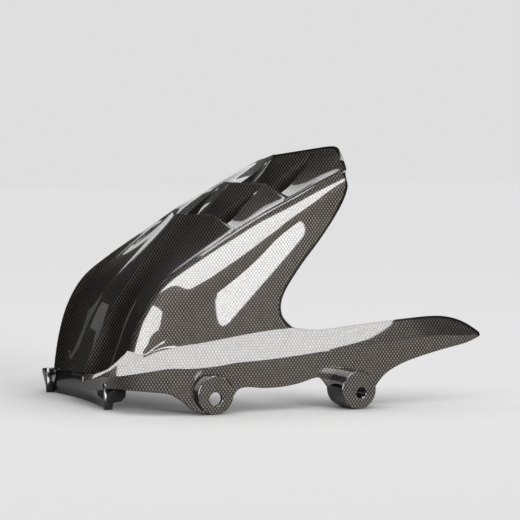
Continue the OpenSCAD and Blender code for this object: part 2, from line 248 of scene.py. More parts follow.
class ShellLoft:
    """Works out the shell's control points: the sheet over the wheel and the strip that hangs on it."""

    # the place in each station of the strip that lies on the crease between belt and skirt
    crease_drop = 4

    def __init__(self, sizes: ShellSizes) -> None:
        """Lofts the rows.

        Args:
            sizes: the shell's sizes and lists.
        """
        self.s = sizes
        self.rows = self._row_list()
        self.row_n = len(self.rows) - 1
        self.spine_col = sizes.far_n + len(sizes.band) + sizes.crown_n
        self.sheet = [self._row_points(r) for r in range(self.row_n + 1)]
        self.col_n = len(self.sheet[0]) - 1
        self.front_n = self.col_n - self.spine_col
        self.last_shared = self.front_n + self.row_n
        self.hang_n = self.last_shared + sizes.guard_n
        self.hang = [self._hang_points(m) for m in range(self.hang_n + 1)]
        self.drop_n = len(self.hang[0]) - 1

    def _row_list(self) -> list:
        """Returns step, rise share and gill share of each row, from the front foot to the tail."""
        s = self.s
        rows = [(s.crest1 * (k / s.front_rows) ** 0.93, 0.0, 0.0) for k in range(s.front_rows + 1)]
        for a, b in ((s.crest1, s.crest2), (s.crest2, s.tail)):
            rows += [(a + 0.22, -0.04, 1.0), (a + 0.5, -0.02, 1.0)]
            rows += [(mix(a + 0.5, b, k / 5), mix(-0.02, 1.0, k / 5), max(0.0, 1 - k / 4.2)) for k in range(1, 6)]
        return rows

    def plate_of(self, row: int) -> int:
        """Returns which centre plate a row belongs to."""
        first = self.s.front_rows
        return 0 if row <= first else 1 if row <= first + self.s.plate_rows else 2

    def _col_y(self, step: float, gill: float, plate: int) -> list:
        """Returns the distances from the mid plane of a row's columns, from the spine outward."""
        s = self.s
        if plate == 0:
            share = s.spine_share.at(step)[1] if step <= s.crest1 else 1.0
            half = s.spine_half * share
            return [half, half + (38 - half) * 0.3, 31, 39, 44, 55, 68, 81]
        half, tip = s.spine_half * (0.06 + 0.84 * gill), s.gill_tip
        return [half, mix(tip - 2, 20, gill), mix(tip, 37, gill), mix(tip + 2, 54, gill),
                mix(tip + 5, 59, gill), 63, 72, 81]

    def _dome(self, y: float, a: float, m: float, j: float, flat: float) -> float:
        """Returns the rise at distance y of a cross section that falls off beyond its flat part."""
        return mix(a, m, y / flat) if y < flat else mix(m, j, ((y - flat) / (self.s.dome_half - flat)) ** 1.15)

    def _col_h(self, step: float, rise: float, gill: float, plate: int, side: int) -> list:
        """Returns the rise over the shoulder line of a row's columns."""
        s, y, up = self.s, self._col_y(step, gill, plate), self._up(step, side)
        low = up - s.inner_drop * (1 - up / 6)
        if plate == 0:
            _, a, m = s.front_rise.at(step)
            level = [a, mix(a, m, 0.55), mix(a, m, 0.86), m]
            return level + [self._dome(y[n], a, m, low, s.flat_half) for n in range(len(level), s.crown_n)]
        a, m = (19 * rise, 11.8 * rise) if plate == 1 else (22 * rise, (17.2 if side < 0 else 11) * rise)
        flat = mix(s.flat_half, 66 if side < 0 else 52, max(0, rise)) if plate == 2 else s.flat_half
        out = [a] + [self._dome(y[n], a, m, low, flat) for n in range(1, s.crown_n)]
        out[2] -= s.gill_depth * gill
        return out

    def _up(self, step: float, side: int) -> float:
        """Returns how far the far shoulder rises toward the tail."""
        return float(self.s.far_up.at(step)[1]) if side > 0 else 0.0

    def _swept(self, row: int, step: float, y: float) -> float:
        """Returns how far a row is swept back at distance y, in steps of the shoulder line."""
        s, plate = self.s, self.plate_of(row)
        e = soft(ramp(s.crest2 + 0.4, s.tail, step)) if plate == 2 else 0.0
        if plate == 0:
            full = s.crest_sweep * soft(ramp(3.2, s.crest1, step))
        elif plate == 1:
            full = s.crest_sweep
        else:
            full = mix(s.crest_sweep, s.tail_sweep * (1 if y < 0 else 0.85), e)
        d = abs(y)
        if y < 0:
            less = 10 * ramp(63, 86, d) + 13 * ramp(88, 104, d)
        else:
            less = 5 * ramp(66, 88, d) + 9 * ramp(88, 104, d)
        back = full * ramp(0, mix(44, 66, e), d) - e * less
        return (back - (1 - e) * 0.45 * full * ramp(44, 88, d)) / s.step_length

    def _lift(self, step: float, y: float, rise: float) -> np.ndarray:
        """Returns the point at a step of the shoulder line, raised by rise, at distance y."""
        line = self.s.shoulder
        p, a, b = line.at(step), line.at(max(0, step - 0.05)), line.at(step + 0.05)
        d = np.array((b[1] - a[1], b[2] - a[2]))
        d /= max(np.linalg.norm(d), 1e-9)
        return np.array((p[1] - d[1] * rise, y, p[2] + d[0] * rise))

    def _step_of(self, row: int, y: float) -> float:
        """Returns a row's step at distance y: the chain side's front foot is cut off along the belt."""
        step, cut_rows = self.rows[row][0], self.s.cut_rows
        if y < 0 and row < cut_rows:
            last = self.rows[cut_rows][0]
            return mix(self.s.cut.at(-y)[1], last, step / last)
        return step

    def _crown(self, row: int, side: int) -> list:
        """Returns the points of one half of the crown, from the spine outward."""
        s, (v0, rise, gill), plate = self.s, self.rows[row], self.plate_of(row)
        ys, hs = self._col_y(v0, gill, plate), self._col_h(v0, rise, gill, plate, side)
        out = []
        for k in range(s.crown_n):
            v = self._step_of(row, side * ys[k])
            w = s.shoulder.at(v)[3]
            y = (w * s.half_width / s.list_half if ys[k] > 62 else 1) * ys[k]
            h = self._col_h(v, rise, gill, plate, side)[k] if plate == 0 else hs[k]
            out.append(self._lift(v + self._swept(row, v0, side * y), side * y, h))
        return out

    def _shoulder_band(self, row: int, side: int) -> list:
        """Returns the points that round the shoulder over to the side wall."""
        s, v0 = self.s, self.rows[row][0]
        v = self._step_of(row, side * 92)
        w = s.shoulder.at(v)[3]
        up = self._up(v, side)
        depth = s.band_depth.at(v)[1] if side < 0 else s.far_band + up - 4.5 * ramp(9, s.tail, v)
        out = []
        for share, down in s.band:
            y = w * s.half_width + s.side_out * share
            out.append(self._lift(v + self._swept(row, v0, side * y), side * y, up - down * depth))
        return out

    def _far_wall(self, row: int) -> list:
        """Returns the points of the plain wall on the side away from the chain, from its low edge up."""
        s, v = self.s, self.rows[row][0]
        end = self._shoulder_band(row, 1)[-1]
        out = []
        for k in range(s.far_n, 0, -1):
            drop = -s.far_band - (s.far_depth - s.far_band) * k / s.far_n * mix(0.35, 1, soft(ramp(0, 4, v)))
            out.append(self._lift(v + self._swept(row, v, 100), end[1] - 1.5 * k / s.far_n, drop))
        return out

    def _side_wall(self, row: int) -> list:
        """Returns the points of the chain side's wall from the shoulder down to the belt."""
        s, t = self.s, row / self.row_n
        a, bt = self._shoulder_band(row, -1)[-1], s.belt_top.at(t)
        b = np.array((bt[1], s.guard_top.rows[0][1], bt[2]))
        edge = s.rear_edge
        e0, e1 = edge.rows[0], edge.rows[8]
        e = soft(ramp(0.45, 1, t))
        out = []
        for k in range(1, s.side_n + 1):
            f = edge.rows[k][0] if row == self.row_n else mix(k / s.side_n, edge.rows[k][0], e)
            q, line = edge.at(f), mix(e0, e1, f)
            out.append(mix(a, b, f) + np.array((q[1] - line[1], 0, q[2] - line[2])) * e)
        return out

    def _row_points(self, row: int) -> list:
        """Returns one whole row from the far edge to the belt."""
        return (
            self._far_wall(row) + self._shoulder_band(row, 1)[::-1] + self._crown(row, 1)[::-1]
            + self._crown(row, -1) + self._shoulder_band(row, -1) + self._side_wall(row)
        )

    def _hang_points(self, m: int) -> list:
        """Returns one station of the belt and skirt, from its top line to its low edge."""
        s = self.s
        if m <= self.front_n:
            top, share = self.sheet[0][self.spine_col + m], m / self.front_n
            crease, low = s.front_crease.at(share)[1:], s.front_low.at(share)[1:]
        else:
            if m <= self.last_shared:
                top = self.sheet[m - self.front_n][self.col_n]
                x = mix(mix(s.belt_x, s.guard_x, (m - self.front_n) / self.row_n), top[0], 0.6)
            else:
                k = m - self.last_shared
                if k <= s.bend_n:
                    x = mix(s.guard_x, s.bend_x, k / s.bend_n)
                else:
                    x = mix(s.bend_x, s.tip_x, (k - s.bend_n) / (s.guard_n - s.bend_n))
                top = s.guard_top.at(x)
            crease, low = s.belt_low.at(x), s.skirt_low.at(x)
        e = ramp(1, 8, m)
        steps = [mix(a, b, e) for a, b in zip((0.25, 0.48, 0.7), (0.3, 0.65, 0.9))]
        out = [top] + [mix(top, crease, t) for t in steps]
        out.append(mix(mix(top, crease, mix(1, 0.97, e)), low, 0.04 * e))
        return out + [mix(crease, low, t) for t in (mix(0.35, 0.16, e), 0.6, 1)]


@dataclass(frozen=True)
class WeaveFinish:
    """Black fibre weave under clear lacquer, with a plain line along the rim. Lengths are in metres."""

    dark: tuple = (0.023, 0.0205, 0.0172)
    light: tuple = (0.235, 0.212, 0.175)
    pitch_u: float = 0.0029
    pitch_v: float = 0.0043
    roughness: float = 0.34
    coat: float = 1.0
    coat_roughness: float = 0.02
    bump: float = 0.05
    bump_depth: float = 0.0002
    rim_width: float = 0.0026
    rim_blur: float = 0.0002
    rim_base: tuple = (0.003, 0.003, 0.003)
    specular: float = 0.12


@dataclass(frozen=True)
class GlossFinish:
    """Plain gloss black moulding."""

    base: tuple = (0.0085, 0.0085, 0.0085)
    roughness: float = 0.16
    coat: float = 0.6
    coat_roughness: float = 0.05
    cloud_scale: float = 40.0
    cloud_range: float = 0.06


@dataclass(frozen=True)
class InsideFinish:
    """The bare inner face of the moulding: satin black with a fine grain."""

    base: tuple = (0.018, 0.018, 0.0175)
    roughness: float = 0.48
    grain_scale: float = 900.0
    grain_strength: float = 0.25
    grain_depth: float = 0.0003


class NodeTree:
    """Small helper that adds and links shader nodes."""

    def __init__(self, tree: bpy.types.NodeTree) -> None:
        """Keeps the tree that nodes are added to."""
        self.tree = tree

    def add(self, kind: str, **values: object) -> bpy.types.Node:
        """Adds a node.

        Args:
            kind: the node's type name.
            values: properties of the node.

        Returns:
            The new node.
        """
        node = self.tree.nodes.new(kind)
        for name, value in values.items():
            setattr(node, name, value)
        return node

    def link(self, source: bpy.types.NodeSocket, target: bpy.types.NodeSocket) -> None:
        """Joins two sockets."""
        self.tree.links.new(source, target)

    def math(self, operation: str, first: object, second: object = None, third: object = None) -> bpy.types.NodeSocket:
        """Adds a math node.

        Args:
            operation: the node's operation.
            first: a socket or a number.
            second: a socket or a number, or None.
            third: a socket or a number, or None.

        Returns:
            The node's value socket.
        """
        node = self.add("ShaderNodeMath", operation=operation)
        for index, value in enumerate((first, second, third)):
            if value is None:
                continue
            if isinstance(value, bpy.types.NodeSocket):
                self.link(value, node.inputs[index])
            else:
                node.inputs[index].default_value = value
        return node.outputs[0]


def weave_group() -> bpy.types.NodeTree:
    """Builds the shared weave: staggered upright tows with fine fibre lines.

    Returns:
        A group that reads a surface map in metres and puts out Fleck, a mask, and Height.
    """
    group = bpy.data.node_groups.new("fibre_weave", "ShaderNodeTree")
    face = group.interface
    face.new_socket("Vector", in_out="INPUT", socket_type="NodeSocketVector")
    for name, way in (("Pitch U", "INPUT"), ("Pitch V", "INPUT"), ("Fleck", "OUTPUT"), ("Height", "OUTPUT")):
        face.new_socket(name, in_out=way, socket_type="NodeSocketFloat")
    n = NodeTree(group)
    inside, out = n.add("NodeGroupInput"), n.add("NodeGroupOutput")
    split = n.add("ShaderNodeSeparateXYZ")
    n.link(inside.outputs["Vector"], split.inputs[0])
    u = n.math("DIVIDE", split.outputs[0], inside.outputs["Pitch U"])
    v = n.math("DIVIDE", split.outputs[1], inside.outputs["Pitch V"])
    turn = 2 * math.pi
    across = n.math("COSINE", n.math("MULTIPLY", u, turn))
    along = n.math("COSINE", n.math("MULTIPLY", v, turn))
    # the product of two waves is high at the lattice points and at the points halfway between them
    lattice = n.math("MULTIPLY", across, along)
    fleck = n.add("ShaderNodeMapRange", interpolation_type="SMOOTHSTEP")
    n.link(lattice, fleck.inputs["Value"])
    fleck.inputs["From Min"].default_value = -0.1
    fleck.inputs["From Max"].default_value = 0.8
    noise = n.add("ShaderNodeTexNoise", noise_dimensions="2D")
    n.link(inside.outputs["Vector"], noise.inputs["Vector"])
    noise.inputs["Scale"].default_value = 160.0
    noise.inputs["Detail"].default_value = 2.0
    vary = n.math("MULTIPLY_ADD", noise.outputs[0], 0.9, 0.55)
    n.link(n.math("MULTIPLY", fleck.outputs[0], vary), out.inputs["Fleck"])
    n.link(lattice, out.inputs["Height"])
    return group


class Finishes:
    """Makes the materials of the moulding."""

    def __init__(self) -> None:
        """Builds the shared group once."""
        self.group = weave_group()

    @staticmethod
    def _material(name: str) -> tuple:
        """Returns a new material, its node helper and its Principled shader."""
        material = bpy.data.materials.new(name)
        material.use_nodes = True
        nodes = NodeTree(material.node_tree)
        shader = material.node_tree.nodes["Principled BSDF"]
        return material, nodes, shader

    def weave(self, finish: WeaveFinish) -> bpy.types.Material:
        """Makes the lacquered weave.

        Args:
            finish: its colours and sizes.

        Returns:
            The material.
        """
        material, n, shader = self._material("lacquered_weave")
        uv = n.add("ShaderNodeUVMap", uv_map="weave")
        lattice = n.add("ShaderNodeGroup")
        lattice.node_tree = self.group
        lattice.inputs["Pitch U"].default_value = finish.pitch_u
        lattice.inputs["Pitch V"].default_value = finish.pitch_v
        n.link(uv.outputs[0], lattice.inputs["Vector"])
        colour = n.add("ShaderNodeMix", data_type="RGBA")
        colour.inputs["A"].default_value = (*finish.dark, 1)
        colour.inputs["B"].default_value = (*finish.light, 1)
        n.link(lattice.outputs["Fleck"], colour.inputs["Factor"])
        # a narrow line of plain black runs along the shell's cut rim, but not along the skirt's low edge
        away = n.add("ShaderNodeAttribute", attribute_name="rim_distance")
        open_weave = n.add("ShaderNodeMapRange", interpolation_type="SMOOTHSTEP")
        n.link(away.outputs["Fac"], open_weave.inputs["Value"])
        open_weave.inputs["From Min"].default_value = finish.rim_width - finish.rim_blur
        open_weave.inputs["From Max"].default_value = finish.rim_width + finish.rim_blur
        rim_lined = n.add("ShaderNodeMix", data_type="RGBA")
        rim_lined.inputs["A"].default_value = (*finish.rim_base, 1)
        n.link(colour.outputs["Result"], rim_lined.inputs["B"])
        n.link(open_weave.outputs["Result"], rim_lined.inputs["Factor"])
        n.link(rim_lined.outputs["Result"], shader.inputs["Base Color"])
        bump = n.add("ShaderNodeBump")
        bump.inputs["Strength"].default_value = finish.bump
        bump.inputs["Distance"].default_value = finish.bump_depth
        n.link(lattice.outputs["Height"], bump.inputs["Height"])
        n.link(bump.outputs[0], shader.inputs["Normal"])
        shader.inputs["Roughness"].default_value = finish.roughness
        shader.inputs["Specular IOR Level"].default_value = finish.specular
        shader.inputs["Coat Weight"].default_value = finish.coat
        shader.inputs["Coat Roughness"].default_value = finish.coat_roughness
        return material

    def gloss(self, finish: GlossFinish) -> bpy.types.Material:
        """Makes the plain gloss black.

        Args:
            finish: its colour and gloss.

        Returns:
            The material.
        """
        material, n, shader = self._material("gloss_black")
        place = n.add("ShaderNodeTexCoord")
        noise = n.add("ShaderNodeTexNoise")
        noise.inputs["Scale"].default_value = finish.cloud_scale
        n.link(place.outputs["Object"], noise.inputs["Vector"])
        least = finish.roughness - finish.cloud_range / 2
        rough = n.math("MULTIPLY_ADD", noise.outputs[0], finish.cloud_range, least)
        n.link(rough, shader.inputs["Roughness"])
        shader.inputs["Base Color"].default_value = (*finish.base, 1)
        shader.inputs["Coat Weight"].default_value = finish.coat
        shader.inputs["Coat Roughness"].default_value = finish.coat_roughness
        return material

    def inside(self, finish: InsideFinish) -> bpy.types.Material:
        """Makes the satin black of the inner face.

        Args:
            finish: its colour and roughness.

        Returns:
            The material.
        """
        material, n, shader = self._material("inner_face_black")
        place = n.add("ShaderNodeTexCoord")
        noise = n.add("ShaderNodeTexNoise")
        noise.inputs["Scale"].default_value = finish.grain_scale
        noise.inputs["Detail"].default_value = 3.0
        n.link(place.outputs["Object"], noise.inputs["Vector"])
        bump = n.add("ShaderNodeBump")
        bump.inputs["Strength"].default_value = finish.grain_strength
        bump.inputs["Distance"].default_value = finish.grain_depth
        n.link(noise.outputs[0], bump.inputs["Height"])
        n.link(bump.outputs[0], shader.inputs["Normal"])
        shader.inputs["Base Color"].default_value = (*finish.base, 1)
        shader.inputs["Roughness"].default_value = finish.roughness
        return material


def deselect() -> None:
    """Deselects every object."""
    for thing in bpy.context.selected_objects:
        thing.select_set(False)


def make_active(thing: bpy.types.Object) -> None:
    """Selects one object alone and makes it active."""
    deselect()
    thing.select_set(True)
    bpy.context.view_layer.objects.active = thing


def apply_modifier(thing: bpy.types.Object, name: str) -> None:
    """Applies one modifier of an object."""
    make_active(thing)
    bpy.ops.object.modifier_apply(modifier=name)


def cut_out(thing: bpy.types.Object, tool: bpy.types.Object) -> None:
    """Cuts a tool's shape out of an object and removes the tool.

    Args:
        thing: the object that is cut.
        tool: the solid that is taken away from it.
    """
    cut = thing.modifiers.new("cut", "BOOLEAN")
    cut.operation, cut.solver, cut.object = "DIFFERENCE", "EXACT", tool
    apply_modifier(thing, "cut")
    bpy.data.objects.remove(tool)


def round_edges(thing: bpy.types.Object, width: float, angle: float) -> None:
    """Rounds an object's sharp edges.

    Args:
        thing: the object.
        width: the width of the rounding in millimetres.
        angle: edges that turn by more than this, in degrees, are rounded.
    """
    edge = thing.modifiers.new("edge", "BEVEL")
    edge.width, edge.segments, edge.limit_method, edge.angle_limit = width * MM, 3, "ANGLE", math.radians(angle)
    edge.harden_normals = True
    apply_modifier(thing, "edge")


def smooth_by_angle(thing: bpy.types.Object, angle: float) -> None:
    """Shades an object smooth up to an angle in degrees."""
    make_active(thing)
    bpy.ops.object.shade_smooth_by_angle(angle=math.radians(angle))


def new_object(name: str, points: list, faces: list) -> bpy.types.Object:
    """Makes an object from corners and faces.

    Args:
        name: the name of the object and of its mesh.
        points: its corners in metres.
        faces: the corner numbers of each face.

    Returns:
        The object, linked to the scene.
    """
    mesh = bpy.data.meshes.new(name)
    mesh.from_pydata(points, [], faces)
    mesh.update()
    thing = bpy.data.objects.new(name, mesh)
    bpy.context.scene.collection.objects.link(thing)
    return thing


@dataclass(frozen=True)
class CalmSizes:
    """The way each form faces the light, and the stretch of X in metres over which that sets in."""

    panel: tuple = (0.0, -1.0, 0.0)
    panel_start: tuple = (-0.03, 0.03)
    belt: tuple = (-0.12, -0.64, 0.76)
    belt_share: float = 0.98
    guard: tuple = (0.0, -0.26, 0.965)
    guard_start: tuple = (0.2, 0.235)
    skirt: tuple = (-0.005, -1.0, 0.02)
    skirt_start: tuple = (0.02, 0.035)
    skirt_fall: float = -0.07


class HuggerShell:
    """The crown, side wall, belt, skirt and chain guard as one smooth moulded sheet."""

    def __init__(self, sizes: ShellSizes, materials: list) -> None:
        """Keeps what the shell is built from.

        Args:
            sizes: the shell's sizes and lists.
            materials: the finishes, in the order of Slot.
        """
        self.sizes = sizes
        self.loft = ShellLoft(sizes)
        self.materials = materials

    def _grid(self) -> tuple:
        """Returns the control points, their quads, and where each grid place is in the list."""
        loft = self.loft
        points, where_a, where_b = [], {}, {}
        for i, row in enumerate(loft.sheet):
            for j, p in enumerate(row):
                where_a[i, j] = len(points)
                points.append(p)
        for m, station in enumerate(loft.hang):
            for k, p in enumerate(station):
                if k == 0 and m <= loft.last_shared:
                    place = (0, loft.spine_col + m) if m <= loft.front_n else (m - loft.front_n, loft.col_n)
                    where_b[m, k] = where_a[place]
                else:
                    where_b[m, k] = len(points)
                    points.append(p)
        quads = []
        for i in range(loft.row_n):
            for j in range(loft.col_n):
                quads.append((where_a[i, j], where_a[i + 1, j], where_a[i + 1, j + 1], where_a[i, j + 1]))
        for m in range(loft.hang_n):
            for k in range(loft.drop_n):
                quads.append((where_b[m, k], where_b[m + 1, k], where_b[m + 1, k + 1], where_b[m, k + 1]))
        return np.array(points), quads, where_a, where_b

    def _creases(self, where_a: dict, where_b: dict) -> dict:
        """Returns the sharpness of each control edge that isn't smooth."""
        loft, s = self.loft, self.sizes
        out = {}

        def mark(a: int, b: int, value: float) -> None:
            """Keeps the sharper of two values on one edge."""
            key = (min(a, b), max(a, b))
            out[key] = max(out.get(key, 0), value)

        c, wide = loft.spine_col, s.crown_n
        first, second = s.front_rows, s.front_rows + s.plate_rows
        for crest in (first, second):
            for j in range(c - wide, c + wide - 1):
                fade = 1 - 0.5 * ramp(wide - 2, wide, abs(j - c + 0.5))
                mark(where_a[crest, j], where_a[crest, j + 1], Edge.CRISP.value * fade)
                mark(where_a[crest + 1, j], where_a[crest + 1, j + 1], Edge.FIRM.value * fade)
        for i in range(first):
            for j in (c - 1, c):
                mark(where_a[i, j], where_a[i + 1, j], Edge.CRISP.value)
        for start in (first + 1, second + 1):
            for i in range(start, start + s.plate_rows - 2):
                for side in (0, 1):
                    for k in (1, 2, 3):
                        j = c + k if side else c - 1 - k
                        mark(where_a[i, j], where_a[i + 1, j], Edge.CRISP.value)
        for i in range(loft.row_n):
            for shoulder in (c + wide, c - wide - 1):
                mark(where_a[i, shoulder], where_a[i + 1, shoulder], Edge.ROUND.value)
        for m in range(loft.last_shared):
            mark(where_b[m, 0], where_b[m + 1, 0], Edge.FIRM.value)
        for m in range(loft.hang_n):
            mark(where_b[m, loft.crease_drop], where_b[m + 1, loft.crease_drop], Edge.ROUND.value)
        return out

    @staticmethod
    def lay_weave(piece: bpy.types.Object) -> None:
        """Lays the weave flat over a piece, as seen from the chain side's front quarter.

        Args:
            piece: the object, whose map is replaced.
        """
        mesh = piece.data
        for layer in list(mesh.uv_layers):
            mesh.uv_layers.remove(layer)
        layer = mesh.uv_layers.new(name="weave")
        turn = math.radians(QUARTER_DEG)
        across, deep = math.cos(turn), math.sin(turn)
        for loop in mesh.loops:
            p = mesh.vertices[loop.vertex_index].co
            layer.data[loop.index].uv = (p.x * across - p.y * deep, p.z)

    def _hold_edges(self, shell: bpy.types.Object) -> None:
        """Gives the cut rim, the crests and the gill edges a very narrow strip that keeps them crisp.

        Args:
            shell: the thickened shell.
        """
        weights, crest_turn = "bevel_weight_edge", math.radians(self.sizes.crest_deg)
        for name, slot in (("crest", -1), ("rim", Slot.GLOSS.value)):
            work = bmesh.new()
            work.from_mesh(shell.data)
            layer = work.edges.layers.float.get(weights) or work.edges.layers.float.new(weights)
            for edge in work.edges:
                edge[layer] = 0.0
                if len(edge.link_faces) != 2:
                    continue
                slots = {face.material_index for face in edge.link_faces}
                if name == "rim":
                    edge[layer] = 1.0 if slots == {Slot.WEAVE.value, Slot.GLOSS.value} else 0.0
                elif slots == {Slot.WEAVE.value}:
                    edge[layer] = 1.0 if abs(edge.calc_face_angle(0.0)) > crest_turn else 0.0
            work.to_mesh(shell.data)
            work.free()
            strip = shell.modifiers.new(name, "BEVEL")
            strip.width, strip.segments = self.sizes.edge_strip * MM, 3
            strip.limit_method, strip.material = "WEIGHT", slot
            apply_modifier(shell, name)

    @staticmethod
    def measure_rim(piece: bpy.types.Object) -> None:
        """Writes each point's distance to the piece's cut rim, leaving out the skirt's low edge, in metres.

        Args:
            piece: the object, which gets the attribute.
        """
        mesh = piece.data
        region = mesh.attributes.get("region")
        uses = {}
        for polygon in mesh.polygons:
            for key in polygon.edge_keys:
                uses.setdefault(key, []).append(polygon.index)
        rim = []
        for key, faces in uses.items():
            slots = {mesh.polygons[f].material_index for f in faces}
            low = any(region.data[f].value == Region.SKIRT.value for f in faces) if region else True
            if slots == {Slot.WEAVE.value, Slot.GLOSS.value} and not low:
                a, b = (mesh.vertices[v].co for v in key)
                rim += [a.lerp(b, share) for share in (0.0, 0.25, 0.5, 0.75)]
        tree = KDTree(max(1, len(rim)))
        for index, point in enumerate(rim):
            tree.insert(point, index)
        tree.balance()
        layer = mesh.attributes.new("rim_distance", "FLOAT", "POINT")
        for vertex in mesh.vertices:
            layer.data[vertex.index].value = tree.find(vertex.co)[2] if rim else 1.0

    @staticmethod
    def _calm_normals(shell: bpy.types.Object, calm: CalmSizes) -> None:
        """Evens out the small waves of the panel, belt and skirt in the way light falls on them.

        Args:
            shell: the finished shell, whose custom normals are set.
            calm: the ways that the forms face.
        """
        mesh = shell.data
        region = mesh.attributes["region"].data
        aims = {
            Region.PANEL.value: Vector(calm.panel),
            Region.BELT.value: Vector(calm.belt).normalized(),
            Region.SKIRT.value: Vector(calm.skirt).normalized(),
        }
        guard = Vector(calm.guard).normalized()
        normals = [Vector(corner.vector) for corner in mesh.corner_normals]
        for polygon in mesh.polygons:
            kind = region[polygon.index].value
            if kind == Region.CROWN.value or polygon.material_index != Slot.WEAVE.value:
                continue
            for k in polygon.loop_indices:
                p = mesh.vertices[mesh.loops[k].vertex_index].co
                aim = aims[kind]
                if kind == Region.BELT.value:
                    share, aim = calm.belt_share, aim.lerp(guard, ramp(*calm.guard_start, p.x)).normalized()
                elif kind == Region.SKIRT.value:
                    share = ramp(*calm.skirt_start, p.x)
                    n = normals[k]
                    normals[k] = Vector((n.x, n.y, min(n.z, calm.skirt_fall))).normalized()
                else:
                    share = ramp(*calm.panel_start, p.x)
                normals[k] = normals[k].lerp(aim, share).normalized()
        mesh.normals_split_custom_set([tuple(n) for n in normals])

    def build(self) -> bpy.types.Object:
        """Builds the shell.

        Returns:
            The finished object.
        """
        points, quads, where_a, where_b = self._grid()
        shell = new_object("hugger_shell", to_part(points).tolist(), [q[::-1] for q in quads])
        mesh = shell.data
        creases = self._creases(where_a, where_b)
        layer = mesh.attributes.new("crease_edge", "FLOAT", "EDGE")
        for edge in mesh.edges:
            a, b = edge.vertices
            layer.data[edge.index].value = creases.get((min(a, b), max(a, b)), 0.0)
        region = mesh.attributes.new("region", "INT", "FACE")
        sheet_n = self.loft.row_n * self.loft.col_n
        for polygon in mesh.polygons:
            if polygon.index < sheet_n:
                panel = polygon.index % self.loft.col_n >= self.loft.col_n - self.sizes.side_n
                region.data[polygon.index].value = (Region.PANEL if panel else Region.CROWN).value
            else:
                drop = (polygon.index - sheet_n) % self.loft.drop_n
                region.data[polygon.index].value = (Region.BELT if drop < self.loft.crease_drop else Region.SKIRT).value
        for material in self.materials:
            mesh.materials.append(material)
        smooth = shell.modifiers.new("smooth", "SUBSURF")
        smooth.levels = smooth.render_levels = 2
        apply_modifier(shell, "smooth")
        wall = shell.modifiers.new("wall", "SOLIDIFY")
        wall.thickness = self.sizes.wall * MM
        wall.offset = -1
        wall.use_even_offset = True
        wall.thickness_clamp = 0.6
        wall.material_offset = Slot.INSIDE.value
        wall.material_offset_rim = Slot.GLOSS.value
        apply_modifier(shell, "wall")
        self._hold_edges(shell)
        for place in self.sizes.openings:
            cut_out(shell, Boss.cutter(*place, self.sizes.opening_front, self.sizes.opening_back))
        smooth_by_angle(shell, self.sizes.smooth_deg)
        self._calm_normals(shell, CalmSizes())
        self.lay_weave(shell)
        self.measure_rim(shell)
        LOG.info("shell: %d faces", len(shell.data.polygons))
        return shell


@dataclass
class BossSizes:
    """Sizes of one hollow boss, in millimetres of the lofting frame."""

    name: str
    x: float
    face_y: float
    back_y: float
    hole_x: float
    hole_z: float
    hole_r: float
    radius: float = 17.6
    wall: float = 3.0
    face: float = 4.0
    edge: float = 1.1
    edge_deg: float = 40.0
    smooth_deg: float = 35.0
    # a cutting tool reaches this far out of the boss in front and behind
    over_front: float = 5.0
    over_back: float = 20.0


class Boss:
    """A hollow round boss with a bolt hole in its face."""

    def __init__(self, sizes: BossSizes, materials: list) -> None:
        """Keeps the sizes and the finishes in the order of Slot."""
        self.sizes, self.materials = sizes, materials

    def build(self) -> bpy.types.Object:
        """Turns the boss from a cylinder.

        Returns:
            The finished object.
        """
        s = self.sizes
        length = abs(s.back_y - s.face_y)
        middle = to_part(np.array((s.x, (s.back_y + s.face_y) / 2, s.radius)))
        deselect()
        bpy.ops.mesh.primitive_cylinder_add(
            vertices=96, radius=s.radius * MM, depth=length * MM, location=tuple(middle), rotation=(math.pi / 2, 0, 0))
        boss = bpy.context.active_object
        boss.name = boss.data.name = s.name
        smooth_by_angle(boss, s.smooth_deg)
        bpy.ops.object.transform_apply(location=True, rotation=True, scale=True)
        hollow = self.cutter(s.x, s.radius, s.radius - s.wall, s.face_y + s.face, s.back_y + s.over_back)
        hole = self.cutter(s.hole_x, s.hole_z, s.hole_r, s.face_y - s.over_front, s.back_y + s.over_back)
        for tool in (hollow, hole):
            cut_out(boss, tool)
        round_edges(boss, s.edge, s.edge_deg)
        for material in self.materials:
            boss.data.materials.append(material)
        front = to_part(np.array((s.x, s.face_y, s.radius)))[1]
        for polygon in boss.data.polygons:
            facing = polygon.normal.y < -0.9 and abs(polygon.center.y - front) < 0.0006
            polygon.material_index = Slot.WEAVE.value if facing else Slot.GLOSS.value
        HuggerShell.lay_weave(boss)
        HuggerShell.measure_rim(boss)
        LOG.info("%s: %d faces", s.name, len(boss.data.polygons))
        return boss

    @staticmethod
    def cutter(x: float, z: float, radius: float, front: float, back: float) -> bpy.types.Object:
        """Makes a cylinder along Y that cuts a boss or the shell.

        Args:
            x: its middle in millimetres of the lofting frame, as are all others.
            z: its middle.
            radius: its radius.
            front: where it begins along Y.
            back: where it ends along Y.

        Returns:
            The cylinder.
        """
        middle = to_part(np.array((x, (front + back) / 2, z)))
        deselect()
        bpy.ops.mesh.primitive_cylinder_add(
            vertices=72, radius=radius * MM, depth=abs(back - front) * MM, location=tuple(middle),
            rotation=(math.pi / 2, 0, 0))
        tool = bpy.context.active_object
        bpy.ops.object.transform_apply(location=True, rotation=True, scale=True)
        return tool


@dataclass
class LipSizes:
    """Sizes of the front lip and its two end pieces, in millimetres of the lofting frame."""

    half: float = 75.0
    height: float = 8.5
    steps: int = 24
    near_tab: tuple = ((-1.5, 0), (6, 0), (7, 6), (15, 7), (19, 11), (20, 24), (-2.5, 24))
    near_front: float = -76.2
    near_back: float = -72.8
    far_wing: tuple = ((73.2, 0), (75.2, 0), (76.8, 7), (86, 19), (85.5, 22.5), (73.2, 24))
    far_front: float = -0.5
    far_back: float = 13.5
    bar_edge: float = 0.9
    tab_edge: float = 0.7
    edge_deg: float = 25.0
    smooth_deg: float = 35.0


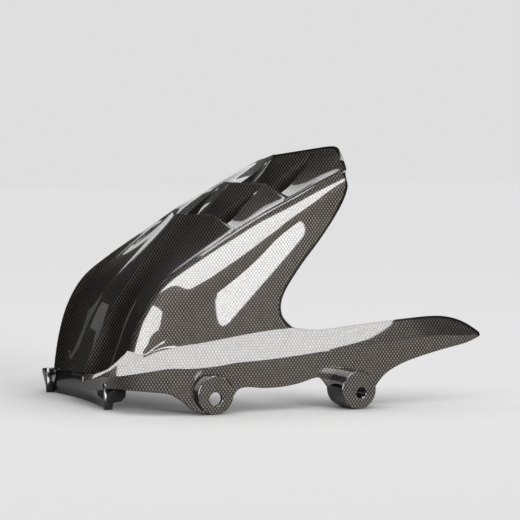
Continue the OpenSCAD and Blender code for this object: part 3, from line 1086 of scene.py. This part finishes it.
class FrontLip:
    """The plain black lip under the front foot, with a tab at one end and a wing at the other."""

    def __init__(self, sizes: LipSizes, materials: list) -> None:
        """Keeps the sizes and the finishes in the order of Slot."""
        self.sizes, self.materials = sizes, materials

    def _section(self, y: float) -> list:
        """Returns the lip's outline in X and Z at distance y."""
        half = self.sizes.half
        m = 1 - (y / half) ** 2
        x, c = 2.5 + 7.5 * m + 3 * y / half, 12 + 3 * m
        z, h = 0.4 * (1 - m), 21.5 + 4 * m
        top = self.sizes.height
        return [(x, z), (x - 1, top), (c - 4, h), (c + 1, h + 0.5), (x + 4, top - 1), (x + 3.6, z)]

    def _finish(self, piece: bpy.types.Object, width: float) -> bpy.types.Object:
        """Rounds the edges of a piece and dresses it in plain gloss.

        Args:
            piece: the raw piece.
            width: the width of the rounding in millimetres.

        Returns:
            The same piece.
        """
        round_edges(piece, width, self.sizes.edge_deg)
        for material in self.materials:
            piece.data.materials.append(material)
        for polygon in piece.data.polygons:
            polygon.material_index = Slot.GLOSS.value
        smooth_by_angle(piece, self.sizes.smooth_deg)
        return piece

    def lip(self) -> bpy.types.Object:
        """Builds the bar of the lip.

        Returns:
            The bar.
        """
        s = self.sizes
        points, faces = [], []
        for k in range(s.steps + 1):
            y = -s.half + 2 * s.half * k / s.steps
            points += [(x, y, z) for x, z in self._section(y)]
        around = len(self._section(0.0))
        for k in range(s.steps):
            for n in range(around):
                a, b = k * around + n, k * around + (n + 1) % around
                faces.append((a, b, b + around, a + around))
        faces += [tuple(range(around - 1, -1, -1)), tuple(s.steps * around + n for n in range(around))]
        return self._finish(new_object("front_lip", to_part(np.array(points)).tolist(), faces), s.bar_edge)

    def _prism(self, name: str, outline: list, shift: tuple) -> bpy.types.Object:
        """Extrudes a closed outline.

        Args:
            name: the piece's name.
            outline: points in millimetres of the lofting frame.
            shift: how far the outline is extruded, in millimetres.

        Returns:
            The piece.
        """
        piece = new_object(name, to_part(np.array(outline)).tolist(), [tuple(range(len(outline)))])
        make_active(piece)
        bpy.ops.object.mode_set(mode="EDIT")
        bpy.ops.mesh.select_all(action="SELECT")
        bpy.ops.mesh.extrude_region_move(TRANSFORM_OT_translate={"value": tuple(v * MM for v in shift)})
        bpy.ops.mesh.select_all(action="SELECT")
        bpy.ops.mesh.normals_make_consistent(inside=False)
        bpy.ops.object.mode_set(mode="OBJECT")
        return self._finish(piece, self.sizes.tab_edge)

    def near_tab(self) -> bpy.types.Object:
        """Builds the upright tab on the chain side."""
        s = self.sizes
        outline = [(x, s.near_front, z) for x, z in s.near_tab]
        return self._prism("near_tab", outline, (0, s.near_back - s.near_front, 0))

    def far_wing(self) -> bpy.types.Object:
        """Builds the short wing at the far end."""
        s = self.sizes
        outline = [(s.far_front, y, z) for y, z in s.far_wing]
        return self._prism("far_wing", outline, (s.far_back - s.far_front, 0, 0))


@dataclass(frozen=True)
class CameraSizes:
    """Where the photograph was taken from, worked out from the part's known points."""

    place: tuple = (-737.13, -1865.23, 248.0)
    down_deg: float = 3.3274
    turn_deg: float = -QUARTER_DEG
    lens: float = 148.85
    sensor: float = 36.0


class LampKind(Enum):
    """How a lamp's light comes: from a panel nearby, or even and from far away."""

    PANEL = "AREA"
    FAR = "SUN"


@dataclass(frozen=True)
class Lamp:
    """One soft lamp: place and aim in metres, size in metres and power in watts.

    A far lamp's first size is its width in the sky in degrees, and its power is in watts per square metre.
    """

    name: str
    place: tuple
    aim: tuple
    size: tuple
    power: float
    kind: LampKind = LampKind.PANEL


@dataclass(frozen=True)
class Card:
    """One flat bright card that only reflections see.

    It stands at a fixed place along one axis (1 is Y, 2 is Z), and its corners are given in the other
    two, all in metres.
    """

    name: str
    axis: int
    place: float
    corners: tuple
    strength: float

    def points(self) -> list:
        """Returns the corners with all three coordinates."""
        return [(*corner[:self.axis], self.place, *corner[self.axis:]) for corner in self.corners]


@dataclass(frozen=True)
class Glow:
    """How bright something is in the camera's view, for soft light and in reflections."""

    seen: float
    lit: float
    mirrored: float


@dataclass(frozen=True)
class FloorLook:
    """The floor: its size and place in metres, its finish, and the painted shadow that darkens its glow beside the
    part.
    """

    size: float = 12.0
    place_y: float = 2.0
    base: tuple = (0.72, 0.72, 0.72)
    roughness: float = 0.9
    glow: Glow = Glow(0.63, 0.06, 0.25)
    # painted shadow: ambient occlusion darkens the floor's glow within this reach of the part
    shadow_reach: float = 0.14
    shadow_power: float = 1.7


class Studio:
    """Pale floor, backdrop, lamps, reflection cards and camera."""

    backdrop = Glow(0.735, 0.03, 0.05)
    lamps = (
        Lamp("top_soft", (0.1, 0.5, 1.6), (0.05, 0.1, 0.0), (1.3, 1.3), 1.6),
        Lamp("front_soft", (0.5, -1.9, 0.28), (0.1, 0.0, 0.08), (25.0, 0.0), 3.9, LampKind.FAR),
    )
    cards = (
        Card("belt_card", 2, 1.5, (
            (0.22, -0.04), (0.58, -0.04), (0.592, -0.009), (0.7, 0.0095), (0.72, 0.05), (0.75, 0.3), (0.22, 0.3)),
            10.0),
        Card("inner_card", 2, 1.5, (
            (-0.3, -0.24), (0.0, -0.05), (0.12, 0.42), (-0.3, 0.42)), 8.0),
        Card("front_high_card", 1, -0.6, (
            (-0.75, 1.3), (-0.75, 1.03), (-0.42, 0.8), (-0.18, 0.62), (-0.06, 0.5), (0.05, 0.36), (0.106, 0.285),
            (0.15, 0.238), (0.212, 0.213), (0.25, 0.223), (0.31, 0.25), (0.33, 0.36), (0.335, 0.8), (0.0, 0.85),
            (-0.35, 1.35)), 15.0),
        Card("panel_card", 1, -0.6, (
            (0.329, 0.055), (0.329, 0.029), (0.331, 0.007), (0.334, -0.001), (0.339, -0.004), (0.346, -0.001),
            (0.393, 0.046), (0.43, 0.083), (0.452, 0.106), (0.455, 0.114), (0.452, 0.122), (0.446, 0.126), (0.439,
            0.125), (0.391, 0.095)), 17.0),
        Card("corner_card", 1, -0.6, (
            (-0.66, 0.6), (-0.592, 0.551), (-0.054, 0.159), (-0.006, 0.071), (-0.006, -0.01), (-0.9, -0.01), (-0.95,
            0.5)), 14.0),
        Card("rear_card", 1, 2.5, (
            (0.1, 1.12), (1.3, 1.12), (1.3, 0.4), (2.0, 0.4), (2.0, 2.6), (0.35, 2.6), (0.1, 2.9)), 2.0),
        Card("facet_card", 1, 2.5, (
            (0.26, 0.5), (0.52, 0.5), (0.5, 0.66), (0.3, 0.8), (0.26, 0.8)), 1.2),
        Card("spine_card", 1, 2.5, (
            (-1.7, 0.6), (-0.9, 0.6), (-0.62, 0.74), (-0.64, 0.83), (-1.5, 0.95)), 0.45),
    )

    @staticmethod
    def _surroundings(tree: bpy.types.NodeTree, glow: Glow) -> bpy.types.NodeSocket:
        """Builds a brightness that differs between the camera's view, soft light and reflections.

        Args:
            tree: the node tree to build in.
            glow: the three brightnesses.

        Returns:
            The socket with the brightness.
        """
        n = NodeTree(tree)
        path = n.add("ShaderNodeLightPath")
        part = n.math("MULTIPLY_ADD", path.outputs["Is Camera Ray"], glow.seen - glow.lit, glow.lit)
        return n.math("MULTIPLY_ADD", path.outputs["Is Glossy Ray"], glow.mirrored - glow.lit, part)

    def floor(self, look: FloorLook) -> None:
        """Lays a large plain floor, whose glow carries a painted shadow beside the part.

        Args:
            look: its size and finish.
        """
        deselect()
        bpy.ops.mesh.primitive_plane_add(size=look.size, location=(0, look.place_y, GROUND_Z))
        floor = bpy.context.active_object
        floor.name = "studio_floor"
        material = bpy.data.materials.new("studio_floor")
        material.use_nodes = True
        n = NodeTree(material.node_tree)
        shader = material.node_tree.nodes["Principled BSDF"]
        shader.inputs["Base Color"].default_value = (*look.base, 1)
        shader.inputs["Roughness"].default_value = look.roughness
        shader.inputs["Specular IOR Level"].default_value = 0.0
        glow = n.add("ShaderNodeEmission")
        # painted shadow: the floor's glow is darkened by ambient occlusion beside the part
        near = n.add("ShaderNodeAmbientOcclusion", samples=8)
        near.inputs["Distance"].default_value = look.shadow_reach
        glowing = self._surroundings(material.node_tree, look.glow)
        fade = n.math("POWER", near.outputs["AO"], look.shadow_power)
        n.link(n.math("MULTIPLY", glowing, fade), glow.inputs["Strength"])
        both = n.add("ShaderNodeAddShader")
        n.link(shader.outputs[0], both.inputs[0])
        n.link(glow.outputs[0], both.inputs[1])
        n.link(both.outputs[0], material.node_tree.nodes["Material Output"].inputs["Surface"])
        floor.data.materials.append(material)

    def hang_cards(self) -> None:
        """Hangs the cards, which neither the camera nor soft light sees."""
        for card in self.cards:
            thing = new_object(card.name, card.points(), [tuple(range(len(card.corners)))])
            material = bpy.data.materials.new(card.name)
            material.use_nodes = True
            nodes = material.node_tree.nodes
            nodes.remove(nodes["Principled BSDF"])
            glow = nodes.new("ShaderNodeEmission")
            glow.inputs["Strength"].default_value = card.strength
            material.node_tree.links.new(glow.outputs[0], nodes["Material Output"].inputs["Surface"])
            thing.data.materials.append(material)
            thing.visible_camera = thing.visible_diffuse = thing.visible_shadow = False
            thing.visible_transmission = thing.visible_volume_scatter = False

    def world(self) -> None:
        """Gives the surroundings a plain pale look and keeps them dark in reflections."""
        world = bpy.data.worlds.new("studio")
        bpy.context.scene.world = world
        world.use_nodes = True
        back = world.node_tree.nodes["Background"]
        back.inputs["Color"].default_value = (1.0, 1.0, 1.0, 1)
        world.node_tree.links.new(self._surroundings(world.node_tree, self.backdrop), back.inputs["Strength"])

    def light(self) -> None:
        """Hangs the lamps, which soft light sees and reflections don't."""
        for lamp in self.lamps:
            data = bpy.data.lights.new(lamp.name, lamp.kind.value)
            data.energy = lamp.power
            if lamp.kind is LampKind.PANEL:
                data.shape, data.size, data.size_y = "RECTANGLE", *lamp.size
            else:
                data.angle = math.radians(lamp.size[0])
            thing = bpy.data.objects.new(lamp.name, data)
            bpy.context.scene.collection.objects.link(thing)
            thing.location = lamp.place
            aim = Vector(lamp.aim) - Vector(lamp.place)
            thing.rotation_euler = aim.to_track_quat("-Z", "Y").to_euler()
            thing.visible_glossy = False

    def camera(self, sizes: CameraSizes) -> None:
        """Sets the camera at the photograph's place and angle."""
        data = bpy.data.cameras.new("photo_camera")
        data.lens, data.sensor_width = sizes.lens, sizes.sensor
        camera = bpy.data.objects.new("photo_camera", data)
        bpy.context.scene.collection.objects.link(camera)
        camera.location = tuple(to_part(np.array(sizes.place)))
        camera.rotation_euler = (math.radians(90 - sizes.down_deg), 0, math.radians(sizes.turn_deg))
        bpy.context.scene.camera = camera


def main() -> None:
    """Builds the moulding and its studio."""
    logging.basicConfig(level=logging.INFO, format="%(name)s %(message)s")
    finishes = Finishes()
    materials = [finishes.weave(WeaveFinish()), finishes.gloss(GlossFinish()), finishes.inside(InsideFinish())]
    lip = FrontLip(LipSizes(), materials)
    pieces = [
        HuggerShell(ShellSizes(), materials).build(),
        Boss(BossSizes("front_boss_cup", 74, -151, -140, 74, 14.1, 6.0), materials).build(),
        Boss(BossSizes("rear_boss_cup", 207, -173, -143, 209.2, 15.0, 4.6), materials).build(),
        lip.lip(),
        lip.near_tab(),
        lip.far_wing(),
    ]
    for piece in pieces:
        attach(piece, "root")
        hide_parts("hugger_moulding")
        LOG.info("piece %s ready", piece.name)
    studio = Studio()
    studio.floor(FloorLook())
    studio.world()
    studio.light()
    studio.hang_cards()
    studio.camera(CameraSizes())
    bpy.context.scene.view_settings.view_transform = "Standard"


if __name__ == "__main__":
    main()
